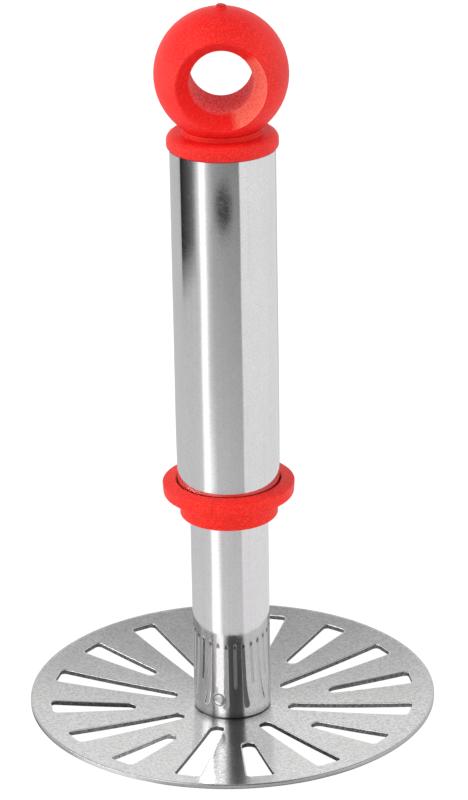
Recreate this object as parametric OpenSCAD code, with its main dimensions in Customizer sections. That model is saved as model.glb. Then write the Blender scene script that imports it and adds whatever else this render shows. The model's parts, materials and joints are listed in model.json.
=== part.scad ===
// Sprung hand masher: a slotted, dished disc on a shaft tube that telescopes into a ball-ended handle.
// Millimetres, +Z up, origin at the centre of the flat hub's underside, where the tool stands.
// The ball's hanging hole runs along Y. The handle slides down the shaft and also turns on it.

/* [Masher disc] */
// Outside diameter of the disc
disc_d = 100; // [90:1:110]
// Sheet thickness of the disc
disc_t = 1.2; // [1:0.1:1.5]
// Diameter of the flat hub that the shaft stands on
hub_flat_d = 21; // [20:0.5:24]
// Height of the rim above the hub
dish_rise = 3.3; // [2:0.1:5]
// Slope of the dish where it leaves the hub, as rise over run
dish_start_slope = 0.054; // [0.03:0.002:0.06]
// Number of slots, long and short ones in turn
slot_count = 16; // [12:2:16]
// Direction of the first long slot, in degrees from +X
slot_turn = -14.2; // [-20:0.1:20]
// Radius where the long slots begin
long_slot_from = 14.1; // [13:0.1:18]
// Radius where the short slots begin
short_slot_from = 24.2; // [20:0.1:28]
// Radius where all the slots end
slot_to = 45; // [40:0.5:45]
// Width of a slot at its inner, round end
slot_inner_w = 3.4; // [3:0.1:3.6]
// Width of a slot at its outer end
slot_outer_w = 6.4; // [5:0.1:7]
// Corner radius at a slot's outer end
slot_corner_r = 1.1; // [0.6:0.1:1.4]

/* [Shaft tube] */
// Outside diameter of the shaft tube
shaft_d = 19; // [18.5:0.1:19.5]
// Wall of the shaft tube
shaft_wall = 1; // [0.8:0.1:1.2]
// Height of the shaft tube's top end
shaft_top = 86; // [84:0.5:88]
// Height of the rivets that hold the tube on the hub plug
hub_rivet_z = 6.1; // [5.5:0.1:8]
// Diameter of those rivets
hub_rivet_d = 2.5; // [2:0.1:3]
// Direction of the rivet at the front, in degrees from +X
hub_rivet_turn = -110; // [-130:1:-80]

/* [Handle tube] */
// Outside diameter of the handle tube
handle_d = 25; // [24.8:0.1:25.4]
// Wall of the handle tube
handle_wall = 0.8; // [0.7:0.05:0.9]
// Height of the handle tube's lower end
handle_from = 59.9; // [59:0.1:62]
// Length of the handle tube
handle_l = 87.8; // [85:0.1:90]
// Outer radius of the tube's rolled-in ends
roll_r = 1.5; // [1.2:0.1:1.6]

/* [Guard ring] */
// Diameter of the flange
flange_d = 32.1; // [30:0.1:36]
// Thickness of the flange
flange_t = 3.4; // [3:0.1:4]
// Diameter of the neck below the flange
neck_d = 23.8; // [23:0.1:25]
// Height of the neck
neck_h = 5.4; // [5:0.1:6]

/* [End cap] */
// Diameter of the ball
ball_d = 31.5; // [30:0.1:34]
// Height of the ball's centre above the handle tube's top end
ball_rise = 15.7; // [15:0.1:17]
// Diameter of the hanging hole
hole_d = 14.8; // [13:0.1:16]
// Diameter of the chamfer at each mouth of the hanging hole
mouth_d = 21; // [19:0.1:22]
// Straight length of the hanging hole between its chamfers
hole_l = 14.2; // [13:0.1:18]
// Diameter of the collar
collar_d = 26.4; // [26:0.1:28]
// Height of the collar
collar_h = 3.7; // [3.5:0.1:4]
// Diameter of the small step between collar and ball
step_d = 19; // [18:0.1:20]

/* [Mechanism] */
// How far the handle slides down the shaft
travel = 40; // [30:1:40]
// Radial running clearance of the sliding pieces
run_gap = 0.05; // [0.03:0.01:0.08]
// Wire diameter of the return spring
wire_d = 1.2; // [1:0.05:1.25]
// Mean coil diameter of the return spring
coil_d = 15.5; // [15.3:0.1:15.8]
// Number of coils between the spring's closed ends
active_coils = 7; // [6:1:8]

/* [Quality] */
// Facets round a full circle
$fn = 96; // [64:16:128]

/* [Hidden] */

STEEL = [0.74, 0.75, 0.76];
BRIGHT_STEEL = [0.83, 0.84, 0.86];
RED_PLASTIC = [0.87, 0.12, 0.08];
WHITE_PLASTIC = [0.92, 0.91, 0.87];
RUBBER = [0.13, 0.13, 0.14];

over = 1;                  // how far a cut runs past the face it opens
hub_flat_r = hub_flat_d / 2;
disc_r = disc_d / 2;
dish_run = disc_r - hub_flat_r;
dish_bend = (dish_rise - dish_start_slope * dish_run) / (dish_run * dish_run);
dish_steps = 14;

// Countersunk hub screw, sunk in a 45 degree dimple pressed into the hub
screw_r = 2.5;
dimple_r = 5.2;            // radius of the screw's head, flush with the hub's underside
dimple_hole_r = 2.7;
dimple_wall = disc_t * sqrt(2);
dimple_h = dimple_r - dimple_hole_r;
hub_screw_top = 13;
socket_r = 1.7;
socket_depth = 2;

shaft_r = shaft_d / 2;
shaft_bore_r = shaft_r - shaft_wall;
hub_plug_top = 16;
rivet_r = hub_rivet_d / 2;
rivet_l = 5;
rivet_head_r = rivet_r + 0.25;
rivet_head_h = 0.35;

handle_r = handle_d / 2;
handle_bore_r = handle_r - handle_wall;
handle_top = handle_from + handle_l;
lip_r = handle_r - roll_r;             // inner radius of the rolled-in lip
groove_r = lip_r - 0.1;                // neck of the plastic that the lip grips
groove_h = roll_r + 0.3;

// Guard ring, from the bottom up
flange_r = flange_d / 2;
flange_top = handle_from + roll_r;
flange_from = flange_top - flange_t;
neck_from = flange_from - neck_h;
neck_r = neck_d / 2;
edge_r = 1.1;                          // rounding of the flange's outer edges
neck_edge_r = 0.6;
recess_r = handle_r + 0.15;            // recess in the flange that the tube's end sits in
recess_floor = handle_from - 0.3;
spigot_top = shaft_top - 10;
guide_r = shaft_r + run_gap;           // bore that runs on the shaft
liner_r = guide_r + 0.5;
liner_from = neck_from + 4.6;
wiper_r = shaft_r + 1.4;
wiper_from = neck_from + 1.6;
wiper_h = 2;

// Stop assembly on the shaft's top end
stop_gap = 0.1;                        // left between the ring's spigot and the bumper at rest
bumper_h = 2;
bumper_r = handle_bore_r - 0.5;
piston_r = handle_bore_r - run_gap;
bush_from = spigot_top + stop_gap + bumper_h;
stop_washer_t = 1.5;
stop_washer_r = handle_bore_r - 0.3;
stop_top = shaft_top + stop_washer_t;
top_plug_from = shaft_top - 18;
top_pin_z = top_plug_from + 3.5;
top_pin_r = 1.5;
stop_screw_from = shaft_top - 11;
lock_washer_t = 1.2;
screw_head_r = 4.4;
screw_head_h = 2.8;
seat_t = 1.5;
seat_boss_r = coil_d / 2 - wire_d / 2 - 0.35;
seat_boss_h = 3;
seat_hole_r = screw_head_r + 0.4;
lower_seat_r = 10.5;
spring_from = stop_top + seat_t;

// End cap, from the bottom up
ball_r = ball_d / 2;
ball_z = handle_top + ball_rise;
hole_r = hole_d / 2;
mouth_r = mouth_d / 2;
mouth_y = sqrt(ball_r * ball_r - mouth_r * mouth_r);
mouth_flare = (mouth_r - hole_r) / (mouth_y - hole_l / 2);
mouth_cut_l = ball_r - hole_l / 2 + over;
collar_from = handle_top - 2;
collar_r = collar_d / 2;
collar_low_edge_r = 0.8;
collar_high_edge_r = 1.8;
collar_recess_r = handle_r + 0.05;
collar_recess_top = handle_top + 0.3;
step_r = step_d / 2;
step_h = 1.2;
plug_from = spring_from + travel + stop_gap;
core_r = coil_d / 2 + wire_d / 2 + 1;
core_top = handle_top - 2.6;
upper_seat_r = core_r - 0.15;
spring_to = core_top - seat_t;
nub_r = 1.5;
nub_h = 0.9;

// Return spring
end_pitch = wire_d + 0.2;              // pitch of the closed coil at each end
spring_l = spring_to - spring_from - wire_d;
coils = active_coils + 2;
active_pitch = (spring_l - 2 * end_pitch) / active_coils;
coil_steps = 20;
wire_sides = 6;

function dish_z(r) = dish_start_slope * (r - hub_flat_r) + dish_bend * pow(r - hub_flat_r, 2);

// Height of the wire's centre after t coils
function wire_z(t) =
    t < 1 ? t * end_pitch
    : t > coils - 1 ? spring_l - (coils - t) * end_pitch
    : end_pitch + (t - 1) * active_pitch;

// Solid of revolution from the axis out to r, with its outer edges rounded
module round_edged(r, from, to, low_edge, high_edge) {
    rotate_extrude() {
        translate([0, from]) square([r - low_edge, to - high_edge - from]);
        translate([0, from + low_edge]) square([r, to - from - low_edge - high_edge]);
        translate([0, from]) square([r - high_edge, to - from]);
        translate([r - low_edge, from + low_edge]) circle(low_edge, $fn = 48);
        translate([r - high_edge, to - high_edge]) circle(high_edge, $fn = 48);
    }
}

// Plain round length on the axis
module bar(r, from, to) {
    translate([0, 0, from]) cylinder(r = r, h = to - from);
}

// Plain sleeve on the axis
module sleeve(r_out, r_in, from, to) {
    difference() {
        bar(r_out, from, to);
        bar(r_in, from - over, to + over);
    }
}

// Length lying along the direction turn, from radius a to radius b, at height z
module radial_bar(r, turn, z, a, b) {
    translate([0, 0, z]) rotate([0, 0, turn]) rotate([0, 90, 0]) translate([0, 0, a]) cylinder(r = r, h = b - a);
}

// Outline of one slot along +X: round inner end, straight flaring sides, rounded outer corners
module slot_outline(from) {
    inner = slot_inner_w / 2;
    outer = slot_outer_w / 2;
    start = from + inner;
    corner_x = slot_to - slot_corner_r;
    corner_y = outer - slot_corner_r;
    translate([start, 0]) circle(inner, $fn = 32);
    polygon([[start, -inner], [corner_x, -outer], [corner_x, outer], [start, inner]]);
    translate([corner_x - over, -corner_y]) square([slot_corner_r + over, 2 * corner_y]);
    for (side = [-1, 1]) translate([corner_x, side * corner_y]) circle(slot_corner_r, $fn = 32);
}

module masher_disc() {
    rim = [for (i = [0:dish_steps]) hub_flat_r + dish_run * i / dish_steps];
    under = [for (r = rim) [r, dish_z(r)]];
    upper = [for (i = [dish_steps:-1:0]) [rim[i], dish_z(rim[i]) + disc_t]];
    dimple_under = [[dimple_hole_r, dimple_h], [dimple_r, 0]];
    dimple_upper = [[dimple_r + dimple_wall - disc_t, disc_t], [dimple_hole_r, dimple_h + dimple_wall]];
    color(STEEL) difference() {
        rotate_extrude($fn = 180) polygon(concat(dimple_under, under, upper, dimple_upper));
        for (i = [0:slot_count - 1])
            rotate([0, 0, slot_turn + i * 360 / slot_count])
                translate([0, 0, -over])
                    linear_extrude(dish_rise + disc_t + 2 * over)
                        slot_outline(i % 2 == 0 ? long_slot_from : short_slot_from);
    }
}

module hub_screw() {
    color(STEEL) difference() {
        rotate_extrude() polygon([[0, 0], [dimple_r, 0], [screw_r, dimple_r - screw_r],
                                  [screw_r, hub_screw_top], [0, hub_screw_top]]);
        translate([0, 0, -over]) cylinder(r = socket_r, h = socket_depth + over, $fn = 6);
    }
}

module hub_plug() {
    dimple_top_r = dimple_r + dimple_wall - disc_t;
    cone_top = dimple_h + dimple_wall;
    color(STEEL) difference() {
        bar(shaft_bore_r, disc_t, hub_plug_top);
        bar(screw_r, 0, hub_screw_top + 0.5);
        rotate_extrude() polygon([[0, 0], [dimple_top_r + disc_t, 0], [dimple_hole_r, cone_top], [0, cone_top]]);
        for (turn = [0, 180])
            radial_bar(rivet_r, hub_rivet_turn + turn, hub_rivet_z, shaft_r - rivet_l, shaft_r);
    }
}

module hub_rivets() {
    color(STEEL) for (turn = [0, 180]) {
        radial_bar(rivet_r, hub_rivet_turn + turn, hub_rivet_z, shaft_r - rivet_l, shaft_r);
        radial_bar(rivet_head_r, hub_rivet_turn + turn, hub_rivet_z, shaft_r - 0.1, shaft_r + rivet_head_h - 0.1);
    }
}

module shaft_tube() {
    color(BRIGHT_STEEL) difference() {
        sleeve(shaft_r, shaft_bore_r, disc_t, shaft_top);
        for (turn = [0, 180]) {
            radial_bar(rivet_r, hub_rivet_turn + turn, hub_rivet_z, shaft_r - rivet_l, shaft_r + over);
            radial_bar(rivet_head_r, hub_rivet_turn + turn, hub_rivet_z, shaft_r - 0.1, shaft_r + over);
        }
        radial_bar(top_pin_r, 0, top_pin_z, -shaft_r - over, shaft_r + over);
    }
}

module shaft_top_plug() {
    color(WHITE_PLASTIC) difference() {
        bar(shaft_bore_r, top_plug_from, shaft_top);
        bar(screw_r, stop_screw_from - 0.5, shaft_top + over);
        radial_bar(top_pin_r, 0, top_pin_z, -shaft_r, shaft_r);
    }
}

module top_plug_pin() {
    pin_half_l = shaft_r - 0.15;
    color(STEEL) radial_bar(top_pin_r, 0, top_pin_z, -pin_half_l, pin_half_l);
}

module bumper_ring() {
    color(RUBBER) sleeve(bumper_r, shaft_r, spigot_top + stop_gap, bush_from);
}

module piston_bush() {
    color(WHITE_PLASTIC) sleeve(piston_r, shaft_r, bush_from, shaft_top);
}

module stop_washer() {
    color(STEEL) sleeve(stop_washer_r, screw_r, shaft_top, stop_top);
}

// Split spring washer under the stop screw's head
module lock_washer() {
    slit_w = 0.8;
    color(STEEL) difference() {
        sleeve(screw_head_r, screw_r, stop_top, stop_top + lock_washer_t);
        rotate([0, 0, 30]) translate([0, -slit_w / 2, stop_top - over])
            cube([screw_head_r + over, slit_w, lock_washer_t + 2 * over]);
    }
}

module stop_screw() {
    head_from = stop_top + lock_washer_t;
    head_to = head_from + screw_head_h;
    color(STEEL) difference() {
        union() {
            bar(screw_r, stop_screw_from, head_to);
            bar(screw_head_r, head_from, head_to);
        }
        translate([0, 0, head_to - socket_depth]) cylinder(r = socket_r, h = socket_depth + over, $fn = 6);
    }
}

module lower_spring_seat() {
    color(WHITE_PLASTIC) difference() {
        union() {
            bar(lower_seat_r, stop_top, spring_from);
            bar(seat_boss_r, stop_top, spring_from + seat_boss_h);
        }
        bar(seat_hole_r, stop_top - over, spring_from + seat_boss_h + over);
    }
}

module return_spring() {
    steps = coils * coil_steps;
    rings = [for (i = [0:steps], s = [0:wire_sides - 1])
        let (t = i / coil_steps, turn = 360 * t, tilt = 360 * s / wire_sides,
             r = coil_d / 2 + wire_d / 2 * cos(tilt))
        [r * cos(turn), r * sin(turn), wire_z(t) + wire_d / 2 * sin(tilt)]];
    walls = [for (i = [0:steps - 1], s = [0:wire_sides - 1])
        let (a = i * wire_sides, b = a + wire_sides, n = (s + 1) % wire_sides)
        [a + s, a + n, b + n, b + s]];
    first_end = [for (s = [wire_sides - 1:-1:0]) s];
    last_end = [for (s = [0:wire_sides - 1]) steps * wire_sides + s];
    color(STEEL) translate([0, 0, spring_from + wire_d / 2])
        polyhedron(points = rings, faces = concat(walls, [first_end, last_end]));
}

module upper_spring_seat() {
    color(STEEL) difference() {
        union() {
            bar(upper_seat_r, spring_to, core_top);
            bar(seat_boss_r, spring_to - seat_boss_h, core_top);
        }
        bar(seat_hole_r, spring_to - seat_boss_h - over, core_top + over);
    }
}

// Tube whose two ends are rolled inwards to grip the plastic parts
module handle_tube() {
    color(BRIGHT_STEEL) difference() {
        round_edged(handle_r, handle_from, handle_top, roll_r, roll_r);
        round_edged(handle_bore_r, handle_from + handle_wall, handle_top - handle_wall,
                    roll_r - handle_wall, roll_r - handle_wall);
        bar(lip_r, handle_from - over, handle_top + over);
    }
}

// Flange and neck below the handle tube, with a spigot that the tube's lower end is rolled onto
module guard_ring() {
    color(RED_PLASTIC) difference() {
        union() {
            round_edged(flange_r, flange_from, flange_top, edge_r, edge_r);
            round_edged(neck_r, neck_from, flange_from + edge_r, neck_edge_r, neck_edge_r);
            bar(groove_r, flange_from, recess_floor + groove_h);
            bar(handle_bore_r, recess_floor + groove_h, spigot_top);
        }
        difference() {
            bar(recess_r, recess_floor, flange_top + over);
            bar(groove_r, recess_floor - over, recess_floor + groove_h);
            bar(handle_bore_r, recess_floor + groove_h, flange_top + 2 * over);
        }
        bar(guide_r, neck_from - over, spigot_top + over);
        bar(wiper_r, wiper_from, wiper_from + wiper_h);
        bar(liner_r, liner_from, spigot_top + over);
    }
}

module guide_bush() {
    color(WHITE_PLASTIC) sleeve(liner_r, guide_r, liner_from, spigot_top);
}

module wiper_ring() {
    color(RUBBER) sleeve(wiper_r, guide_r, wiper_from, wiper_from + wiper_h);
}

// Ball with a hanging hole, on a collar, with a cored plug that the tube's upper end is rolled onto
module end_cap() {
    plug_groove_from = collar_recess_top - groove_h;
    color(RED_PLASTIC) difference() {
        union() {
            translate([0, 0, ball_z]) sphere(ball_r);
            bar(nub_r, ball_z, ball_z + ball_r + nub_h);
            bar(step_r, handle_top, collar_from + collar_h + step_h);
            round_edged(collar_r, collar_from, collar_from + collar_h, collar_low_edge_r, collar_high_edge_r);
            bar(handle_bore_r, plug_from, plug_groove_from);
            bar(groove_r, plug_groove_from, handle_top + 1);
        }
        difference() {
            bar(collar_recess_r, collar_from - over, collar_recess_top);
            bar(handle_bore_r, collar_from - 2 * over, plug_groove_from);
            bar(groove_r, plug_groove_from, collar_recess_top + over);
        }
        bar(core_r, plug_from - over, core_top);
        translate([0, 0, ball_z]) rotate([90, 0, 0]) {
            cylinder(r = hole_r, h = 2 * ball_r, center = true);
            for (side = [0, 180])
                rotate([side, 0, 0]) translate([0, 0, hole_l / 2])
                    cylinder(r1 = hole_r, r2 = hole_r + mouth_flare * mouth_cut_l, h = mouth_cut_l);
        }
    }
}

masher_disc();
hub_screw();
hub_plug();
hub_rivets();
shaft_tube();
shaft_top_plug();
top_plug_pin();
bumper_ring();
piston_bush();
stop_washer();
lock_washer();
stop_screw();
lower_spring_seat();
return_spring();
upper_spring_seat();
handle_tube();
guard_ring();
guide_bush();
wiper_ring();
end_cap();
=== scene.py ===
"""Looks of a sprung hand masher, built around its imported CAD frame. Metres, +Z up."""
import json
import math

import bmesh
import bpy
import numpy as np
from mathutils import Matrix, Quaternion, Vector


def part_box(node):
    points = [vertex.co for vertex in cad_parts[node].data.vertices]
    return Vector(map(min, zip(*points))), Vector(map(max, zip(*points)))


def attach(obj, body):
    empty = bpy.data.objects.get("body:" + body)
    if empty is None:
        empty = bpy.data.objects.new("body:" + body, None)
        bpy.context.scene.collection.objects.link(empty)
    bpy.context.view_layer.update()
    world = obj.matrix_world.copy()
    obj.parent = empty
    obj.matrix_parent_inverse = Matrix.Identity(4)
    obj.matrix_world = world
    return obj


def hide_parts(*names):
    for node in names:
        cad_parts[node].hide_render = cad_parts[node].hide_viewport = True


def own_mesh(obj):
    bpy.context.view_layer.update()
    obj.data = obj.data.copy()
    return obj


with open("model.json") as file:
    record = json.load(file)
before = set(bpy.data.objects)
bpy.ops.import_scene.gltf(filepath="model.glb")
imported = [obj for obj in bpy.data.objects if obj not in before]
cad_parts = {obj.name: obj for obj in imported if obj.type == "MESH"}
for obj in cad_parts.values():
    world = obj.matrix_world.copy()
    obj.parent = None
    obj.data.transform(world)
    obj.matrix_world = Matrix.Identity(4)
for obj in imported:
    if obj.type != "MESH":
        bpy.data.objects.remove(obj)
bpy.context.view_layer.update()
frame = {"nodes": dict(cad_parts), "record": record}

MM = 0.001
SAME_PLACE = 1e-6 * MM

# ---------------------------------------------------------------- sizes, from the frame or as in part.scad


def radius(node):
    """Outer radius of a round node, measured along X."""
    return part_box(node)[1].x


def bottom(node):
    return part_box(node)[0].z


def top(node):
    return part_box(node)[1].z


DISC_R = radius("masher_disc")
SHEET = bottom("shaft_tube")                # the shaft stands on the hub's upper side
DISH_RISE = top("masher_disc") - SHEET
HUB_FLAT_R = 10.5 * MM
DISH_START_SLOPE = 0.054
DIMPLE_R = radius("hub_screw")
DIMPLE_HOLE_R = 2.7 * MM
SLOT_COUNT = 16
SLOT_TURN = math.radians(-14.2)
SLOT_FROM = (14.1 * MM, 24.2 * MM)          # long slots and short slots in turn
SLOT_TO = 45 * MM
SLOT_INNER_R = 1.7 * MM
SLOT_OUTER_HALF = 3.2 * MM
SLOT_CORNER_R = 1.1 * MM

SHAFT_R = radius("shaft_tube")
SHAFT_BORE_R = radius("hub_plug")
RIVET_TURN = math.radians(-110)
RIVET_Z = (bottom("hub_rivets") + top("hub_rivets")) / 2
RIVET_HEAD_R = 1.5 * MM

HANDLE_R = radius("handle_tube")
HANDLE_WALL = 0.8 * MM
HANDLE_FROM, HANDLE_TO = bottom("handle_tube"), top("handle_tube")
HANDLE_BORE_R = HANDLE_R - HANDLE_WALL
ROLL_R = 1.5 * MM
LIP_R = HANDLE_R - ROLL_R
GROOVE_R = LIP_R - 0.1 * MM
GROOVE_H = ROLL_R + 0.3 * MM

FLANGE_R = radius("guard_ring")
FLANGE_TO = HANDLE_FROM + ROLL_R
FLANGE_FROM = FLANGE_TO - 3.4 * MM
NECK_R = 11.9 * MM
NECK_FROM = bottom("guard_ring")
SPIGOT_TO = top("guard_ring")
LINER_R = radius("guide_bush")
LINER_FROM = bottom("guide_bush")
WIPER_R = radius("wiper_ring")
WIPER_FROM, WIPER_TO = bottom("wiper_ring"), top("wiper_ring")
GUIDE_R = SHAFT_R + 0.05 * MM

BALL_R = 15.75 * MM
BALL_Z = HANDLE_TO + 15.7 * MM
HOLE_R = 7.4 * MM
HOLE_HALF_L = 7.1 * MM
MOUTH_R = 10.5 * MM
COLLAR_R = 13.2 * MM
COLLAR_FROM = HANDLE_TO - 2 * MM
COLLAR_TO = COLLAR_FROM + 3.7 * MM
STEP_R = 9.5 * MM
STEP_TO = COLLAR_TO + 1.2 * MM
CAP_CORE_R = radius("upper_spring_seat") + 0.15 * MM
CAP_CORE_TO = top("upper_spring_seat")
PLUG_FROM = bottom("end_cap")

SPRING_FROM, SPRING_TO = bottom("return_spring"), top("return_spring")
SPRING_WIRE_R = 0.6 * MM
SPRING_COIL_R = 7.75 * MM
SPRING_ACTIVE = 7                           # coils between the closed ones at the two ends
SPRING_END_PITCH = 1.4 * MM

# ---------------------------------------------------------------- mesh helpers


def rounded(corners, steps):
    """A closed outline from corners (x, y, radius). Each corner with a radius becomes an arc,
    with a holding point just outside each of its ends so that long flats keep their shading.
    A radius of None keeps a point as it is, for a curve that is already smooth."""
    hold = 0.12 * MM
    outline = []
    count = len(corners)
    for i, (x, y, r) in enumerate(corners):
        here = Vector((x, y))
        if r is None:
            outline.append(here)
            continue
        before = Vector(corners[i - 1][:2]) - here
        after = Vector(corners[(i + 1) % count][:2]) - here
        room = min(before.length, after.length)
        a, b = before.normalized(), after.normalized()
        half = math.acos(max(-1.0, min(1.0, a.dot(b)))) / 2
        if r <= 0 or half > math.radians(89):
            outline += [here + a * min(hold, room / 4), here, here + b * min(hold, room / 4)]
            continue
        back = r / math.tan(half)
        centre = here + (a + b).normalized() * (r / math.sin(half))
        start, end = here + a * back - centre, here + b * back - centre
        turn = math.atan2(start.x * end.y - start.y * end.x, start.dot(end))
        outline.append(here + a * min(back + hold, (back + before.length) / 2))
        for k in range(steps + 1):
            c, s = math.cos(turn * k / steps), math.sin(turn * k / steps)
            outline.append(centre + Vector((start.x * c - start.y * s, start.x * s + start.y * c)))
        outline.append(here + b * min(back + hold, (back + after.length) / 2))
    return [(p.x, p.y) for p in outline]


def divided(outline, longest):
    """The outline with its long stretches cut into equal lengths no longer than longest, and with
    points that coincide with the next one left out."""
    points = []
    for i, (x, y) in enumerate(outline):
        nx, ny = outline[(i + 1) % len(outline)]
        length = math.hypot(nx - x, ny - y)
        parts = math.ceil(length / longest) if length > SAME_PLACE else 0
        points += [(x + (nx - x) * k / parts, y + (ny - y) * k / parts) for k in range(parts)]
    return points


def mesh_object(name, points, faces):
    mesh = bpy.data.meshes.new(name)
    mesh.from_pydata([tuple(p) for p in points], [], faces)
    mesh.validate()
    mesh.update()
    obj = bpy.data.objects.new(name, mesh)
    bpy.context.scene.collection.objects.link(obj)
    mesh.polygons.foreach_set("use_smooth", [True] * len(mesh.polygons))
    return obj


def lathe(name, outline, segments, axis="Z", at=(0, 0, 0)):
    """A closed ring: outline, as (distance from the axis, place along it), turned about axis."""
    rows = len(outline)
    points = []
    for s in range(segments):
        c, n = math.cos(2 * math.pi * s / segments), math.sin(2 * math.pi * s / segments)
        points += [(r * c, r * n, z) for r, z in outline]
    faces = []
    for s in range(segments):
        a, b = s * rows, (s + 1) % segments * rows
        faces += [(a + i, b + i, b + (i + 1) % rows, a + (i + 1) % rows) for i in range(rows)]
    obj = mesh_object(name, points, faces)
    if axis == "Y":
        obj.data.transform(Matrix.Rotation(math.radians(90), 4, "X"))
    obj.data.transform(Matrix.Translation(at))
    outward(obj)
    return obj


def outward(obj, weld=0):
    """Turns every face of a closed mesh outwards, after merging points closer than weld."""
    work = bmesh.new()
    work.from_mesh(obj.data)
    if weld:
        bmesh.ops.remove_doubles(work, verts=work.verts, dist=weld)
    bmesh.ops.recalc_face_normals(work, faces=work.faces)
    if work.calc_volume(signed=True) < 0:
        bmesh.ops.reverse_faces(work, faces=work.faces)
    work.to_mesh(obj.data)
    work.free()


def sharpen(obj, degrees=38):
    """Marks the hard edges that shading breaks at."""
    obj.data.set_sharp_from_angle(angle=math.radians(degrees))


def united(obj, others):
    """Merges the other closed meshes into obj, as one closed mesh."""
    for other in others:
        cut = obj.modifiers.new("merge", "BOOLEAN")
        cut.operation = "UNION"
        cut.solver = "EXACT"
        cut.object = other
    depsgraph = bpy.context.evaluated_depsgraph_get()
    merged = bpy.data.meshes.new_from_object(obj.evaluated_get(depsgraph))
    obj.modifiers.clear()
    obj.data = merged
    for other in others:
        bpy.data.objects.remove(other)


def joined(obj, others):
    """obj with the other meshes' vertices and faces added to it."""
    points = [v.co.copy() for v in obj.data.vertices]
    faces = [tuple(p.vertices) for p in obj.data.polygons]
    for other in others:
        base = len(points)
        points += [v.co.copy() for v in other.data.vertices]
        faces += [tuple(base + i for i in p.vertices) for p in other.data.polygons]
        bpy.data.objects.remove(other)
    name = obj.name
    bpy.data.objects.remove(obj)
    return mesh_object(name, points, faces)


def set_attribute(obj, name, values):
    """A named number on every vertex, for a material to read."""
    made = obj.data.attributes.new(name, "FLOAT", "POINT")
    made.data.foreach_set("value", np.asarray(values, np.float32))


def vertices(obj):
    return np.array([v.co for v in obj.data.vertices])


def move_vertices(obj, co):
    obj.data.vertices.foreach_set("co", co.astype(np.float32).ravel())
    obj.data.update()


def distance_from(co, point):
    return np.linalg.norm(co - np.array(point), axis=1)


# ---------------------------------------------------------------- the masher disc


def dish(r):
    """Height of the disc's underside at radius r."""
    if r <= HUB_FLAT_R:
        return 0.0
    run, x = DISC_R - HUB_FLAT_R, r - HUB_FLAT_R
    bend = (DISH_RISE - DISH_START_SLOPE * run) / run ** 2
    return DISH_START_SLOPE * x + bend * x * x


SIDE_STEPS, HUB_STEPS, RIM_STEPS, CORNER_STEPS = 26, 8, 12, 4
SLOT_RINGS, RING_CROWDING = 9, 1.4          # rings round each slot, crowded towards its edge
PUNCH_TOP_R, PUNCH_UNDER_R, RIM_EDGE_R = 0.20 * MM, 0.08 * MM, 0.28 * MM
EDGE_WEAR_FALL = 12


def sector_edge(rim_r):
    """Edge of one slot's share of the disc, starting at the hub's right-hand corner."""
    half = math.pi / SLOT_COUNT
    polar = [(HUB_FLAT_R, -half + 2 * half * k / HUB_STEPS) for k in range(HUB_STEPS)]
    polar += [(HUB_FLAT_R + (rim_r - HUB_FLAT_R) * k / SIDE_STEPS, half) for k in range(SIDE_STEPS)]
    polar += [(rim_r, half - 2 * half * k / RIM_STEPS) for k in range(RIM_STEPS)]
    polar += [(rim_r - (rim_r - HUB_FLAT_R) * k / SIDE_STEPS, -half) for k in range(SIDE_STEPS)]
    return np.array([(r * math.cos(a), r * math.sin(a)) for r, a in polar])


def slot_edge(start):
    """Outline of a slot along +X, point for point with sector_edge, and its outward normals."""
    inner_x, corner_x = start + SLOT_INNER_R, SLOT_TO - SLOT_CORNER_R
    corner_y = SLOT_OUTER_HALF - SLOT_CORNER_R
    points, normals = [], []

    def arc(x, y, r, from_deg, to_deg, steps):
        for k in range(steps):
            a = math.radians(from_deg + (to_deg - from_deg) * k / steps)
            points.append((x + r * math.cos(a), y + r * math.sin(a)))
            normals.append((math.cos(a), math.sin(a)))

    def side(x0, y0, x1, y1, steps):
        length = math.hypot(x1 - x0, y1 - y0)
        for k in range(steps):
            points.append((x0 + (x1 - x0) * k / steps, y0 + (y1 - y0) * k / steps))
            normals.append((-(y1 - y0) / length, (x1 - x0) / length))

    arc(inner_x, 0, SLOT_INNER_R, 270, 90, HUB_STEPS)
    side(inner_x, SLOT_INNER_R, corner_x, SLOT_OUTER_HALF, SIDE_STEPS)
    arc(corner_x, corner_y, SLOT_CORNER_R, 90, 0, CORNER_STEPS)
    side(SLOT_TO, corner_y, SLOT_TO, -corner_y, RIM_STEPS - 2 * CORNER_STEPS)
    arc(corner_x, -corner_y, SLOT_CORNER_R, 0, -90, CORNER_STEPS)
    side(corner_x, -SLOT_OUTER_HALF, inner_x, -SLOT_INNER_R, SIDE_STEPS)
    return np.array(points), np.array(normals)


def edge_profile(top_r, under_r, steps=3):
    """Cross-section of a punched edge from top face to underside, as (distance back from the wall,
    depth below the top face)."""
    quarter = [math.pi / 2 * k / steps for k in range(steps + 1)]
    upper = [(top_r * (1 - math.sin(a)), top_r * (1 - math.cos(a))) for a in quarter]
    lower = [(under_r * (1 - math.cos(a)), SHEET - under_r * (1 - math.sin(a))) for a in quarter]
    return upper + lower


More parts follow.
